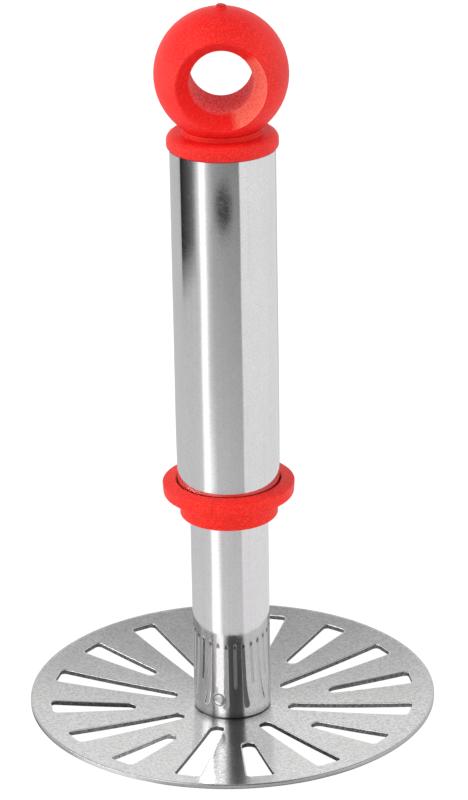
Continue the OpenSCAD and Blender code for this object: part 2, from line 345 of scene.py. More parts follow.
class Sheet:
    """The disc's mesh as it grows: points, faces, and how worn and how raw the metal is at each point."""

    def __init__(self):
        self.points, self.faces, self.wear, self.cut = [], [], [], []

    def put(self, x, y, depth, worn, raw):
        """A point at a depth below the disc's top face."""
        self.points.append((x, y, dish(math.hypot(x, y)) + SHEET - depth))
        self.wear.append(worn)
        self.cut.append(raw)
        return len(self.points) - 1

    def loop(self, xy, depth, worn, raw=0):
        return [self.put(x, y, depth, worn, raw) for x, y in xy]

    def circle(self, r, depth, worn, count, raw=0):
        start = SLOT_TURN - math.pi / SLOT_COUNT
        turns = [start + 2 * math.pi * k / count for k in range(count)]
        return self.loop([(r * math.cos(a), r * math.sin(a)) for a in turns], depth, worn, raw)

    def skin(self, loops):
        """Faces between each loop and the next."""
        for a, b in zip(loops, loops[1:]):
            n = len(a)
            self.faces.extend((a[i], a[(i + 1) % n], b[(i + 1) % n], b[i]) for i in range(n))


def add_slot(sheet, number, outer):
    """One slot, ringed above and below by a grid that widens to its share of the disc."""
    spread = [(k / SLOT_RINGS) ** RING_CROWDING for k in range(SLOT_RINGS + 1)]
    inward = [1 - part for part in reversed(spread)]
    turn = SLOT_TURN + number * 2 * math.pi / SLOT_COUNT
    spin = np.array([[math.cos(turn), math.sin(turn)], [-math.sin(turn), math.cos(turn)]])
    edge, normal = slot_edge(SLOT_FROM[number % 2])
    first = edge + normal * PUNCH_TOP_R
    last = edge + normal * PUNCH_UNDER_R
    loops = [sheet.loop((outer * (1 - t) + first * t) @ spin, 0, t ** EDGE_WEAR_FALL) for t in inward]
    for back, depth in edge_profile(PUNCH_TOP_R, PUNCH_UNDER_R)[1:-1]:
        rolled = depth < 0.7 * PUNCH_TOP_R
        loops.append(sheet.loop((edge + normal * back) @ spin, depth, 1 if rolled else 0, 0 if rolled else 1))
    loops += [sheet.loop((last * (1 - t) + outer * t) @ spin, SHEET, 0.3 * (1 - t)) for t in spread]
    sheet.skin(loops)


def add_rim(sheet, rim_r):
    count = SLOT_COUNT * RIM_STEPS
    loops = [sheet.circle(rim_r, 0, 0.6, count)]
    for back, depth in edge_profile(RIM_EDGE_R, RIM_EDGE_R, 5)[1:-1]:
        worn = 0.6 if depth < 0.5 * RIM_EDGE_R else 0
        loops.append(sheet.circle(DISC_R - back, depth, worn, count, 0.4))
    loops.append(sheet.circle(rim_r, SHEET, 0, count, 0.5))
    sheet.skin(loops)


def add_hub(sheet):
    """The flat hub, pressed up into a cone round the screw."""
    dimple_h = DIMPLE_R - DIMPLE_HOLE_R
    wall = SHEET * math.sqrt(2)
    outline = [
        (HUB_FLAT_R, 0.0), (DIMPLE_R + wall - SHEET + 0.3 * MM, 0.0), (DIMPLE_R + wall - SHEET, 0.0),
        (DIMPLE_HOLE_R, -(dimple_h + wall - SHEET)), (DIMPLE_HOLE_R, SHEET - dimple_h),
        (DIMPLE_R, SHEET), (DIMPLE_R + 0.3 * MM, SHEET), (HUB_FLAT_R, SHEET)]
    sheet.skin([sheet.circle(r, depth, 0, SLOT_COUNT * HUB_STEPS) for r, depth in outline])


def build_disc():
    """Dished disc with punched slots, whose edges are rolled over on top."""
    sheet = Sheet()
    rim_r = DISC_R - RIM_EDGE_R
    outer = sector_edge(rim_r)
    for number in range(SLOT_COUNT):
        add_slot(sheet, number, outer)
    add_rim(sheet, rim_r)
    add_hub(sheet)
    obj = mesh_object("masher_disc_sheet", sheet.points, sheet.faces)
    set_attribute(obj, "wear", sheet.wear)
    set_attribute(obj, "cut", sheet.cut)
    outward(obj, 0.004 * MM)
    sharpen(obj)
    return obj


# ---------------------------------------------------------------- tubes


def dimpled(obj, centre, reach, depth):
    """Sinks the wall of a tube round a point, like metal pulled in by a rivet."""
    co = vertices(obj)
    away = distance_from(co, centre) / reach
    sink = depth * np.where(away < 1, (1 - away ** 2) ** 2, 0)
    out = co.copy()
    out[:, 2] = 0
    out /= np.linalg.norm(out, axis=1)[:, None]
    co -= out * sink[:, None]
    move_vertices(obj, co)


def waved(obj, amplitude, inside_r):
    """Faint long waves in a drawn tube's wall, always inwards, so that reflections bend a little."""
    co = vertices(obj)
    r = np.hypot(co[:, 0], co[:, 1])
    turn = np.arctan2(co[:, 1], co[:, 0])
    z = co[:, 2]
    wave = np.sin(2 * turn + 60 * z) + np.sin(3 * turn - 95 * z + 1.3) + np.sin(5 * turn + 170 * z + 0.4)
    wave = wave / 6 + 0.5
    sink = np.where(r > inside_r, amplitude * wave, 0)
    scale = (r - sink) / r
    co[:, 0] *= scale
    co[:, 1] *= scale
    move_vertices(obj, co)


def rivet_seat(side):
    turn = RIVET_TURN + side * math.pi
    return Vector((SHAFT_R * math.cos(turn), SHAFT_R * math.sin(turn), RIVET_Z))


def finer_near_rivets(outline):
    """The shaft's outline with its outside cut finer at the rivets' height."""
    outside = SHAFT_R - 0.1 * MM
    fine = []
    for i, (r, z) in enumerate(outline):
        nr, nz = outline[(i + 1) % len(outline)]
        near = min(abs(z - RIVET_Z), abs(nz - RIVET_Z)) < 3 * MM and r > outside and nr > outside
        parts = max(1, round(abs(nz - z) / (0.18 * MM))) if near else 1
        fine += [(r + (nr - r) * k / parts, z + (nz - z) * k / parts) for k in range(parts)]
    return fine


def shaft_painted_shade(co):
    """Painted shade in the joint with the disc and round the rivets' heads, from 0 to 1."""
    painted_shade = np.clip((bottom("shaft_tube") + 0.42 * MM - co[:, 2]) / (0.15 * MM), 0, 1)
    for side in (0, 1):
        away = distance_from(co, rivet_seat(side))
        painted_shade = np.maximum(painted_shade, np.exp(-((away - RIVET_HEAD_R - 0.02 * MM) / (0.22 * MM)) ** 2))
    return painted_shade


def build_shaft():
    low, high = bottom("shaft_tube"), top("shaft_tube")
    outline = rounded([(SHAFT_BORE_R, low, 0), (SHAFT_R, low, 0.22 * MM),
                       (SHAFT_R, high, 0.15 * MM), (SHAFT_BORE_R, high, 0)], 4)
    obj = lathe("shaft_tube_polished", finer_near_rivets(divided(outline, 1.5 * MM)), 320)
    waved(obj, 0.012 * MM, SHAFT_R - 0.05 * MM)
    for side in (0, 1):
        dimpled(obj, rivet_seat(side), 2.2 * MM, 0.16 * MM)
    # painted shade at the foot of the shaft and round the rivets' heads
    set_attribute(obj, "painted_shade", shaft_painted_shade(vertices(obj)))
    sharpen(obj, 60)
    return obj


def build_rivets():
    """Two domed rivet heads, each with its shank, set into the shaft's dimples."""
    pieces = []
    for side in (0, 1):
        seat = rivet_seat(side)
        outline = rounded([
            (0.02 * MM, -4.6 * MM, 0), (1.25 * MM, -4.6 * MM, 0.1 * MM), (1.25 * MM, -0.25 * MM, 0),
            (RIVET_HEAD_R - 0.1 * MM, -0.25 * MM, 0.04 * MM),
            (RIVET_HEAD_R - 0.15 * MM, -0.02 * MM, 0.08 * MM),
            (0.8 * MM, 0.16 * MM, 1.0 * MM), (0.02 * MM, 0.17 * MM, 0)], 5)
        rivet = lathe("hub_rivet", outline, 48)
        direction = Vector((seat.x, seat.y, 0)).normalized()
        rivet.data.transform(Vector((0, 0, 1)).rotation_difference(direction).to_matrix().to_4x4())
        rivet.data.transform(Matrix.Translation(seat))
        pieces.append(rivet)
    obj = joined(pieces[0], pieces[1:])
    obj.name = "hub_rivet_heads"
    sharpen(obj)
    return obj


def build_handle():
    low, high = HANDLE_FROM, HANDLE_TO
    outline = rounded([
        (LIP_R, low, 0.15 * MM), (HANDLE_R, low, ROLL_R), (HANDLE_R, FLANGE_TO + 0.1 * MM, None),
        (HANDLE_R - 0.11 * MM, FLANGE_TO + 1.4 * MM, None), (HANDLE_R, FLANGE_TO + 14 * MM, None),
        (HANDLE_R, high, ROLL_R), (LIP_R, high, 0.15 * MM),
        (LIP_R, high - HANDLE_WALL, 0.15 * MM), (HANDLE_BORE_R, high - HANDLE_WALL, 0.6 * MM),
        (HANDLE_BORE_R, low + HANDLE_WALL, 0.6 * MM), (LIP_R, low + HANDLE_WALL, 0.15 * MM)], 8)
    obj = lathe("handle_tube_polished", divided(outline, 2 * MM), 320)
    waved(obj, 0.035 * MM, HANDLE_R - 0.4 * MM)
    sharpen(obj, 60)
    return obj


# ---------------------------------------------------------------- red plastic


def build_ring():
    """Flange and neck with a recess for the tube's end, the spigot inside it, and a moulded seam."""
    recess_r, recess_floor = HANDLE_R + 0.15 * MM, HANDLE_FROM - 0.3 * MM
    groove_to = recess_floor + GROOVE_H
    taper = 0.25 * MM
    outline = rounded([
        (GUIDE_R, NECK_FROM, 0.15 * MM), (NECK_R, NECK_FROM, 0.55 * MM),
        (NECK_R - 0.05 * MM, FLANGE_FROM, 0.15 * MM),
        (FLANGE_R - taper, FLANGE_FROM, 0.8 * MM), (FLANGE_R, FLANGE_TO - 0.05 * MM, 0.42 * MM),
        (recess_r + 0.3 * MM, FLANGE_TO + 0.40 * MM, 0.6 * MM), (recess_r, FLANGE_TO + 0.40 * MM, 0.12 * MM),
        (recess_r, recess_floor, 0.1 * MM), (GROOVE_R, recess_floor, 0.1 * MM),
        (GROOVE_R, groove_to, 0.1 * MM), (HANDLE_BORE_R, groove_to, 0.2 * MM),
        (HANDLE_BORE_R, SPIGOT_TO, 0.4 * MM),
        (LINER_R, SPIGOT_TO, 0.1 * MM), (LINER_R, LINER_FROM, 0.05 * MM), (GUIDE_R, LINER_FROM, 0.05 * MM),
        (GUIDE_R, WIPER_TO, 0.05 * MM), (WIPER_R, WIPER_TO, 0.05 * MM), (WIPER_R, WIPER_FROM, 0.05 * MM),
        (GUIDE_R, WIPER_FROM, 0.05 * MM)], 6)
    obj = lathe("guard_ring_moulded", divided(outline, 0.8 * MM), 288)
    seam(obj)
    sharpen(obj, 60)
    return obj


SEAM_TURNS = (math.radians(-106), math.radians(74))
SEAM_HEIGHT, SEAM_HALF_WIDTH = 0.10 * MM, 0.22 * MM


def seam(obj):
    """A fine raised parting line up the ring's outside, where the two halves of the mould met, with a
    painted shade line beside it, on the side where the ridge's shadow falls."""
    co = vertices(obj)
    r = np.hypot(co[:, 0], co[:, 1])
    lift, line = np.zeros(len(co)), np.zeros(len(co))
    for turn in SEAM_TURNS:
        off = (np.arctan2(co[:, 1], co[:, 0]) - turn + math.pi) % (2 * math.pi) - math.pi
        lift = np.maximum(lift, np.clip(1 - np.abs(off * r) / SEAM_HALF_WIDTH, 0, 1))
        line = np.maximum(line, np.clip(1 - np.abs(off * r - SEAM_HALF_WIDTH) / SEAM_HALF_WIDTH, 0, 1))
    outside = (r > NECK_R - 0.3 * MM) & (r < FLANGE_R - 0.12 * MM) & (co[:, 2] < FLANGE_TO - 0.3 * MM)
    lift = np.where(outside, lift * SEAM_HEIGHT, 0)
    co[:, 0] *= 1 + lift / r
    co[:, 1] *= 1 + lift / r
    move_vertices(obj, co)
    # On the ring, this dark mark is painted shade beside the seam's ridge.
    set_attribute(obj, "torn_and_shade", np.where(r > HANDLE_R, 0.8 * line, 0))


MOUTH_Y = math.sqrt(BALL_R ** 2 - MOUTH_R ** 2)
NUB_Z = BALL_Z + BALL_R
NUB_TO = top("end_cap") - 0.12 * MM
NUB_LEAN = math.radians(6)
NUB_OFFSET = 0.25 * MM
# The mouths' pale side is a painted sheen, on the side of the hole that faces the light.
SHEEN_TURN, SHEEN_HALF, SHEEN_FADE = -15, 62, 12     # the mouth's pale side, in degrees round the hole


def build_ball():
    """Ball turned about the axis of its hanging hole, with a chamfer at each mouth."""
    mouth_turn = math.atan2(MOUTH_Y, MOUTH_R)
    hole_soft, mouth_soft, steps = 0.35 * MM, 0.30 * MM, 36
    corners = [(HOLE_R, HOLE_HALF_L, hole_soft), (HOLE_R, -HOLE_HALF_L, hole_soft),
               (MOUTH_R, -MOUTH_Y, mouth_soft)]
    for k in range(-steps, steps + 1):
        a = 0.955 * mouth_turn * k / steps
        corners.append((BALL_R * math.cos(a), BALL_R * math.sin(a), None))
    corners.append((MOUTH_R, MOUTH_Y, mouth_soft))
    return lathe("end_cap_moulded", divided(rounded(corners, 5), 0.8 * MM), 240, "Y", (0, 0, BALL_Z))


def build_cap_base():
    """Step and collar under the ball, and the cored plug that the tube's upper end is rolled onto."""
    recess_r, recess_top = HANDLE_R + 0.05 * MM, HANDLE_TO + 0.3 * MM
    groove_from = recess_top - GROOVE_H
    top_z = BALL_Z - math.sqrt(BALL_R ** 2 - (STEP_R - 0.6 * MM) ** 2) + 1.2 * MM
    outline = rounded([
        (0.05 * MM, CAP_CORE_TO, 0), (CAP_CORE_R, CAP_CORE_TO, 0.3 * MM), (CAP_CORE_R, PLUG_FROM, 0.2 * MM),
        (HANDLE_BORE_R, PLUG_FROM, 0.5 * MM), (HANDLE_BORE_R, groove_from, 0.2 * MM),
        (GROOVE_R, groove_from, 0.1 * MM), (GROOVE_R, recess_top, 0.1 * MM),
        (recess_r, recess_top, 0.1 * MM), (recess_r, COLLAR_FROM, 0.15 * MM),
        (COLLAR_R, COLLAR_FROM, 0.8 * MM), (COLLAR_R, COLLAR_TO, 1.8 * MM), (STEP_R, COLLAR_TO, 0.35 * MM),
        (STEP_R, STEP_TO, 0.25 * MM), (STEP_R - 0.8 * MM, STEP_TO + 0.05 * MM, 0),
        (STEP_R - 0.9 * MM, top_z, 0), (0.05 * MM, top_z, 0)], 6)
    return lathe("cap_base", divided(outline, 0.8 * MM), 240)


def build_nub():
    """The stub where the moulding's sprue was torn off, leaning a little."""
    outline = rounded([
        (0.05 * MM, NUB_Z - 1 * MM, 0), (2.3 * MM, NUB_Z - 1 * MM, 0),
        (1.35 * MM, NUB_Z + 0.05 * MM, 0.7 * MM),
        (1.05 * MM, NUB_TO, 0.25 * MM), (0.05 * MM, NUB_TO - 0.1 * MM, 0)], 4)
    nub = lathe("cap_nub", outline, 40)
    lean = Matrix.Rotation(NUB_LEAN, 4, "Y")
    nub.data.transform(Matrix.Translation((NUB_OFFSET, 0, NUB_Z)) @ lean @ Matrix.Translation((0, 0, -NUB_Z)))
    return nub


def mark_cap(obj):
    """Marks the hole's bore, the torn stub, and the side of the hole's mouths that gets a painted sheen."""
    co = vertices(obj)
    from_bore = np.hypot(co[:, 0], co[:, 2] - BALL_Z) - HOLE_R
    along = np.abs(co[:, 1])
    set_attribute(obj, "bore", np.clip(1 - from_bore / (0.2 * MM), 0, 1))
    set_attribute(obj, "torn_and_shade", np.clip((co[:, 2] - NUB_Z - 0.1 * MM) / (0.25 * MM), 0, 1))
    on_mouth = (from_bore > 0.1 * MM) & (from_bore < MOUTH_R - HOLE_R + 0.1 * MM)
    on_mouth &= along < MOUTH_Y + 0.1 * MM
    flare = from_bore * (MOUTH_Y - HOLE_HALF_L) / (MOUTH_R - HOLE_R)
    on_mouth &= np.abs(along - HOLE_HALF_L - flare) < 0.25 * MM
    turn = np.degrees(np.arctan2(co[:, 2] - BALL_Z, co[:, 0]))
    side = np.clip((SHEEN_HALF - np.abs(turn - SHEEN_TURN)) / SHEEN_FADE, 0, 1)
    # painted sheen on the side of the mouths that faces the light
    set_attribute(obj, "rubbed_and_sheen", np.where(on_mouth, side, 0))


def build_cap():
    """Ball with a chamfered hanging hole, on a step and a collar, with the cored plug below."""
    obj = build_ball()
    united(obj, [build_cap_base(), build_nub()])
    obj.data.polygons.foreach_set("use_smooth", [True] * len(obj.data.polygons))
    mark_cap(obj)
    sharpen(obj, 35)
    return obj


# ---------------------------------------------------------------- spring


def build_spring():
    """Round wire wound with a closed, ground coil at each end."""
    low, length = SPRING_FROM + SPRING_WIRE_R, SPRING_TO - SPRING_FROM - 2 * SPRING_WIRE_R
    coils = SPRING_ACTIVE + 2
    pitch = (length - 2 * SPRING_END_PITCH) / SPRING_ACTIVE

    def height(t):
        if t < 1:
            return t * SPRING_END_PITCH
        if t > coils - 1:
            return length - (coils - t) * SPRING_END_PITCH
        return SPRING_END_PITCH + (t - 1) * pitch

    per_coil, sides = 48, 16
    steps = coils * per_coil
    points = []
    for i in range(steps + 1):
        t = i / per_coil
        turn = 2 * math.pi * t
        for s in range(sides):
            tilt = 2 * math.pi * s / sides
            r = SPRING_COIL_R + SPRING_WIRE_R * math.cos(tilt)
            z = low + height(t) + SPRING_WIRE_R * math.sin(tilt)
            points.append((r * math.cos(turn), r * math.sin(turn), z))
    faces = []
    for i in range(steps):
        a, b = i * sides, (i + 1) * sides
        faces += [(a + s, a + (s + 1) % sides, b + (s + 1) % sides, b + s) for s in range(sides)]
    faces += [tuple(range(sides - 1, -1, -1)), tuple(steps * sides + s for s in range(sides))]
    obj = mesh_object("return_spring_wire", points, faces)
    outward(obj)
    sharpen(obj, 60)
    return obj


# ---------------------------------------------------------------- materials


def dimmed(tint, factor):
    return tuple(factor * c for c in tint)


def set_stops(ramp, stops):
    """Gives a colour ramp its stops of (place, grey)."""
    while len(ramp.elements) < len(stops):
        ramp.elements.new(0.5)
    for element, (place, grey) in zip(ramp.elements, stops):
        element.position = place
        element.color = (grey, grey, grey, 1)


class Nodes:
    """Short names for building a node material."""

    def __init__(self, name):
        self.material = bpy.data.materials.new(name)
        self.material.use_nodes = True
        self.tree = self.material.node_tree
        self.shader = self.tree.nodes["Principled BSDF"]
        self.place = self.tree.nodes.new("ShaderNodeTexCoord").outputs["Object"]

    def link(self, a, b):
        self.tree.links.new(a, b)
        return b

    def scaled(self, x, y, z):
        """Object coordinates, stretched."""
        mapping = self.tree.nodes.new("ShaderNodeMapping")
        mapping.inputs["Scale"].default_value = (x, y, z)
        self.link(self.place, mapping.inputs["Vector"])
        return mapping.outputs["Vector"]

    def noise(self, scale, detail=4.0, roughness=0.55, vector=None, distortion=0.0):
        node = self.tree.nodes.new("ShaderNodeTexNoise")
        node.inputs["Scale"].default_value = scale
        node.inputs["Detail"].default_value = detail
        node.inputs["Roughness"].default_value = roughness
        node.inputs["Distortion"].default_value = distortion
        self.link(vector or self.place, node.inputs["Vector"])
        return node.outputs["Fac"]

    def spots(self, scale):
        node = self.tree.nodes.new("ShaderNodeTexVoronoi")
        node.inputs["Scale"].default_value = scale
        self.link(self.place, node.inputs["Vector"])
        return node.outputs["Distance"]

    def ramp(self, value, stops):
        """value turned into a grey by stops of (place, grey)."""
        node = self.tree.nodes.new("ShaderNodeValToRGB")
        set_stops(node.color_ramp, stops)
        self.link(value, node.inputs["Fac"])
        return node.outputs["Color"]

    def range(self, value, low, high, to_low, to_high):
        """value moved from the range low..high to the range to_low..to_high, and kept inside it."""
        node = self.tree.nodes.new("ShaderNodeMapRange")
        ends = {"From Min": low, "From Max": high, "To Min": to_low, "To Max": to_high}
        for socket, number in ends.items():
            node.inputs[socket].default_value = number
        self.link(value, node.inputs["Value"])
        return node.outputs["Result"]

    def math(self, operation, a, b):
        node = self.tree.nodes.new("ShaderNodeMath")
        node.operation = operation
        for socket, value in zip(node.inputs, (a, b)):
            if isinstance(value, (int, float)):
                socket.default_value = value
            else:
                self.link(value, socket)
        return node.outputs["Value"]

    def scale(self, value, factor):
        return self.math("MULTIPLY", value, factor)

    def add(self, a, b):
        return self.math("ADD", a, b)

    def mix(self, factor, a, b):
        """From colour a to colour b by factor."""
        node = self.tree.nodes.new("ShaderNodeMix")
        node.data_type = "RGBA"
        for socket, value in zip((node.inputs["Factor"], node.inputs[6], node.inputs[7]), (factor, a, b)):
            if isinstance(value, (int, float)):
                socket.default_value = value
            elif isinstance(value, tuple):
                socket.default_value = (*value, 1)
            else:
                self.link(value, socket)
        return node.outputs[2]

    def attribute(self, name):
        node = self.tree.nodes.new("ShaderNodeAttribute")
        node.attribute_name = name
        return node.outputs["Fac"]

    def bump(self, layers):
        """Chained bumps of (height, strength, distance in metres)."""
        normal = None
        for height, strength, distance in layers:
            node = self.tree.nodes.new("ShaderNodeBump")
            node.inputs["Strength"].default_value = strength
            node.inputs["Distance"].default_value = distance
            self.link(height, node.inputs["Height"])
            if normal is not None:
                self.link(normal, node.inputs["Normal"])
            normal = node.outputs["Normal"]
        self.link(normal, self.shader.inputs["Normal"])

    def colour(self, shade):
        self.link(shade, self.shader.inputs["Base Color"])

    def roughness(self, value):
        self.link(value, self.shader.inputs["Roughness"])

    def set(self, **values):
        """Values that are the same all over, set on the shader's own sockets."""
        for socket, value in values.items():
            self.shader.inputs[socket.replace("_", " ")].default_value = value


def polished_steel(name, tint):
    """Mirror-polished tube: hairline scratches round and along it, faint smears, and painted shade in seams.
    """
    m = Nodes(name)
    smear = m.noise(70, 5, 0.6, m.scaled(1, 1, 0.35), 0.6)
    rubbed_and_sheen = m.noise(600, 4, 0.7, m.scaled(1, 1, 0.6), 0.4)
    hairline = m.ramp(m.noise(1500, 3, 0.7, m.scaled(0.5, 0.5, 4.0), 1.5), [(0.63, 0.0), (0.70, 1.0)])
    drawn = m.noise(1500, 3, 0.6, m.scaled(1, 1, 0.015))
    speck = m.noise(3600, 2, 0.6)
    shade = m.mix(m.range(smear, 0.3, 0.7, 0, 1), dimmed(tint, 0.94), tint)
    shade = m.mix(m.range(drawn, 0.55, 0.75, 0, 0.22), shade, dimmed(tint, 0.72))
    shade = m.mix(m.range(speck, 0.48, 0.60, 0, 0.34), shade, dimmed(tint, 0.66))
    shade = m.mix(m.range(rubbed_and_sheen, 0.5, 0.7, 0, 0.12), shade, (1.0, 1.0, 1.0))
    shade = m.mix(m.scale(hairline, 0.16), shade, (0.35, 0.35, 0.36))
    # painted shade in the joint with the disc and round the rivets' heads
    shade = m.mix(m.range(m.attribute("painted_shade"), 0, 1, 0, 0.9), shade, (0.05, 0.05, 0.05))
    m.colour(shade)
    rough = m.add(m.range(smear, 0.35, 0.75, 0.03, 0.07), m.range(rubbed_and_sheen, 0.45, 0.75, 0.0, 0.05))
    m.roughness(m.add(rough, m.scale(hairline, 0.06)))
    m.bump([(smear, 0.15, 0.00008), (rubbed_and_sheen, 0.20, 0.00002),
            (hairline, 0.10, 0.00001), (drawn, 0.15, 0.00001)])
    m.set(Metallic=1.0)
    return m.material


def satin_steel(name, tint):
    """Tumbled sheet: fine mottled grain and small pits, bright rolled edges, and dark sheared walls."""
    m = Nodes(name)
    cloud = m.noise(60, 5, 0.6)
    grain = m.noise(1300, 4, 0.75)
    fleck = m.noise(4200, 2, 0.6)
    pits = m.ramp(m.spots(700), [(0.0, 1.0), (0.10, 0.8), (0.18, 0.0)])
    sparse = m.ramp(m.noise(300, 3, 0.6), [(0.56, 0.0), (0.64, 1.0)])
    pitted = m.scale(pits, sparse)
    wear, cut = m.attribute("wear"), m.attribute("cut")
    shade = m.mix(m.range(cloud, 0.3, 0.7, 0, 1), dimmed(tint, 0.86), tint)
    shade = m.mix(m.range(grain, 0.42, 0.60, 0.0, 0.80), shade, dimmed(tint, 0.62))
    shade = m.mix(m.range(fleck, 0.50, 0.70, 0.0, 0.45), shade, (0.98, 0.98, 0.98))
    shade = m.mix(m.scale(pitted, 0.55), shade, (0.15, 0.15, 0.15))
    shade = m.mix(m.range(wear, 0.4, 1, 0, 0.5), shade, (0.86, 0.86, 0.85))
    torn_and_shade = m.mix(m.range(grain, 0.40, 0.60, 0, 1), (0.05, 0.05, 0.05), (0.28, 0.28, 0.28))
    shade = m.mix(m.scale(cut, 0.9), shade, torn_and_shade)
    m.colour(shade)
    rough = m.add(m.range(cloud, 0.3, 0.7, 0.13, 0.19), m.range(grain, 0.3, 0.7, -0.03, 0.05))
    rough = m.add(rough, m.range(wear, 0.5, 1, 0, 0.12))
    m.roughness(m.add(rough, m.scale(cut, 0.25)))
    m.bump([(cloud, 0.15, 0.00010), (grain, 0.30, 0.00002), (fleck, 0.25, 0.00001), (pitted, -0.4, 0.00003)])
    m.set(Metallic=1.0)
    return m.material


def red_plastic(name, tint):
    """Moulded plastic: faint flow marks in the colour, a spark-eroded grain, and handling scuffs. The
    hanging hole's bore is mottled, its mouths get a painted sheen on the side that faces the light,
    torn edges are dark, and a painted shade line runs beside the ring's seam."""
    m = Nodes(name)
    flow = m.noise(45, 4, 0.6, m.scaled(1, 1, 2.2), 1.2)
    grain = m.noise(2700, 3, 0.75)
    fine = m.noise(4200, 2, 0.6)
    lumps = m.noise(420, 3, 0.5)
    dots = m.ramp(m.spots(1500), [(0.10, 1.0), (0.30, 0.0)])
    scuff = m.ramp(m.noise(420, 3, 0.7, m.scaled(1, 0.25, 1.6), 2.0), [(0.64, 0.0), (0.72, 1.0)])
    bore = m.attribute("bore")
    deep = (0.84 * tint[0], 0.5 * tint[1], 0.8 * tint[2])
    pale = (min(1, tint[0] * 1.1), tint[1] * 6.5, tint[2] * 4.5)
    shade = m.mix(m.range(flow, 0.3, 0.7, 0, 1), deep, tint)
    shade = m.mix(m.range(grain, 0.51, 0.60, 0, 0.95), shade, pale)
    shade = m.mix(m.range(dots, 0, 1, 0, 0.6), shade, dimmed(deep, 0.80))
    shade = m.mix(m.scale(scuff, 0.12), shade, (0.95, 0.40, 0.32))
    # painted sheen: the mouths' side that faces the light is made pale
    painted_sheen = m.scale(m.range(fine, 0.38, 0.60, 0.15, 0.80), m.attribute("rubbed_and_sheen"))
    shade = m.mix(painted_sheen, shade, (0.92, 0.27, 0.19))
    streaked = m.noise(2400, 4, 0.8, m.scaled(1, 0.3, 1))
    mottled = m.scale(m.range(streaked, 0.40, 0.62, 0.05, 0.75), bore)
    shade = m.mix(mottled, shade, (0.95, 0.30, 0.32))
    # darker where the sprue was torn off the cap, and painted shade beside the ring's seam
    shade = m.mix(m.scale(m.attribute("torn_and_shade"), 0.7), shade, (0.42, 0.004, 0.006))
    m.colour(shade)
    rough = m.add(m.range(flow, 0.3, 0.7, 0.40, 0.48), m.range(grain, 0.3, 0.7, 0.0, 0.14))
    rough = m.add(rough, m.scale(bore, 0.35))
    m.roughness(m.add(rough, m.scale(scuff, 0.12)))
    m.bump([(lumps, 0.20, 0.00005), (grain, 0.90, 0.00005), (dots, 0.25, 0.00001), (scuff, 0.12, 0.00001)])
    m.set(Specular_IOR_Level=0.30, Subsurface_Weight=0.05, Subsurface_Scale=0.002)
    m.shader.inputs["Subsurface Radius"].default_value = (1.0, 0.25, 0.15)
    m.shader.inputs["Specular Tint"].default_value = (1.0, 0.66, 0.48, 1)
    return m.material


def machined_steel(name, tint):
    """Turned fasteners: fine rings round the axis and a slightly oily mottle."""
    m = Nodes(name)
    rings = m.noise(2400, 2, 0.5, m.scaled(0.05, 0.05, 1))
    mottle = m.noise(500, 4, 0.6)
    m.colour(m.mix(m.range(mottle, 0.3, 0.7, 0, 1), dimmed(tint, 0.82), tint))
    m.roughness(m.add(m.range(mottle, 0.3, 0.7, 0.24, 0.34), m.range(rings, 0.3, 0.7, 0, 0.08)))
    m.bump([(rings, 0.3, 0.00001), (mottle, 0.15, 0.00001)])
    m.set(Metallic=1.0)
    return m.material


def dull(name, tint, rough_low, rough_high, grain_scale):
    """Bearing plastic or rubber: a soft mottle and a fine moulded grain."""
    m = Nodes(name)
    mottle = m.noise(160, 4, 0.6)
    grain = m.noise(grain_scale, 3, 0.6)
    m.colour(m.mix(m.range(mottle, 0.3, 0.7, 0, 1), dimmed(tint, 0.85), tint))
    m.roughness(m.range(grain, 0.3, 0.7, rough_low, rough_high))
    m.bump([(grain, 0.25, 0.00003), (mottle, 0.15, 0.00004)])
    return m.material


MATERIALS = {
    "disc_steel": satin_steel("disc_steel", (0.76, 0.76, 0.755)),
    "polished_shaft": polished_steel("polished_shaft", (0.80, 0.785, 0.80)),
    "polished_handle": polished_steel("polished_handle", (0.785, 0.775, 0.785)),
    "fastener_steel": machined_steel("fastener_steel", (0.62, 0.62, 0.61)),
    "spring_steel": machined_steel("spring_steel", (0.50, 0.50, 0.51)),
    "bearing_plastic": dull("bearing_plastic", (0.86, 0.85, 0.80), 0.42, 0.55, 1800),
    "seal_rubber": dull("seal_rubber", (0.035, 0.035, 0.037), 0.62, 0.78, 2600),
    # red_ring is the cap's red made lighter: painted light, making up for the ring's neck lying in the
    # flange's shade
    "red_ring": red_plastic("red_ring", (0.92, 0.009, 0.008)),
    "red_cap": red_plastic("red_cap", (0.82, 0.006, 0.007)),
}


def finish_nodes():
    """Gives every CAD node its slot's material."""
    slots = {part["node"]: part["material_slot"] for part in frame["record"]["subparts"]}
    for name, obj in frame["nodes"].items():
        for holder in obj.material_slots:
            holder.material = MATERIALS[slots[name]]


def place(obj, body, slot, *nodes):
    """Puts a finished piece on its body in the place of its CAD nodes."""
    obj.data.materials.clear()
    obj.data.materials.append(MATERIALS[slot])
    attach(obj, body)
    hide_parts(*nodes)


# ---------------------------------------------------------------- studio

LOOK_AT = Vector((1.64 * MM, 0, 81.9 * MM))
CAMERA_DISTANCE = 846.5 * MM
CAMERA_ELEVATION = math.radians(21.88)
CAMERA_ROLL = math.radians(1.0)
CAMERA_LENS = 158.7


def build_camera():
    data = bpy.data.cameras.new("camera")
    data.lens = CAMERA_LENS
    data.sensor_width = 36
    data.clip_start, data.clip_end = 0.05, 20
    camera = bpy.data.objects.new("camera", data)
    back = Vector((0, -math.cos(CAMERA_ELEVATION), math.sin(CAMERA_ELEVATION)))
    camera.location = LOOK_AT + back * CAMERA_DISTANCE
    camera.rotation_mode = "QUATERNION"
    camera.rotation_quaternion = (-back).to_track_quat("-Z", "Y") @ Quaternion((0, 0, 1), -CAMERA_ROLL)
    bpy.context.scene.collection.objects.link(camera)
    bpy.context.scene.camera = camera


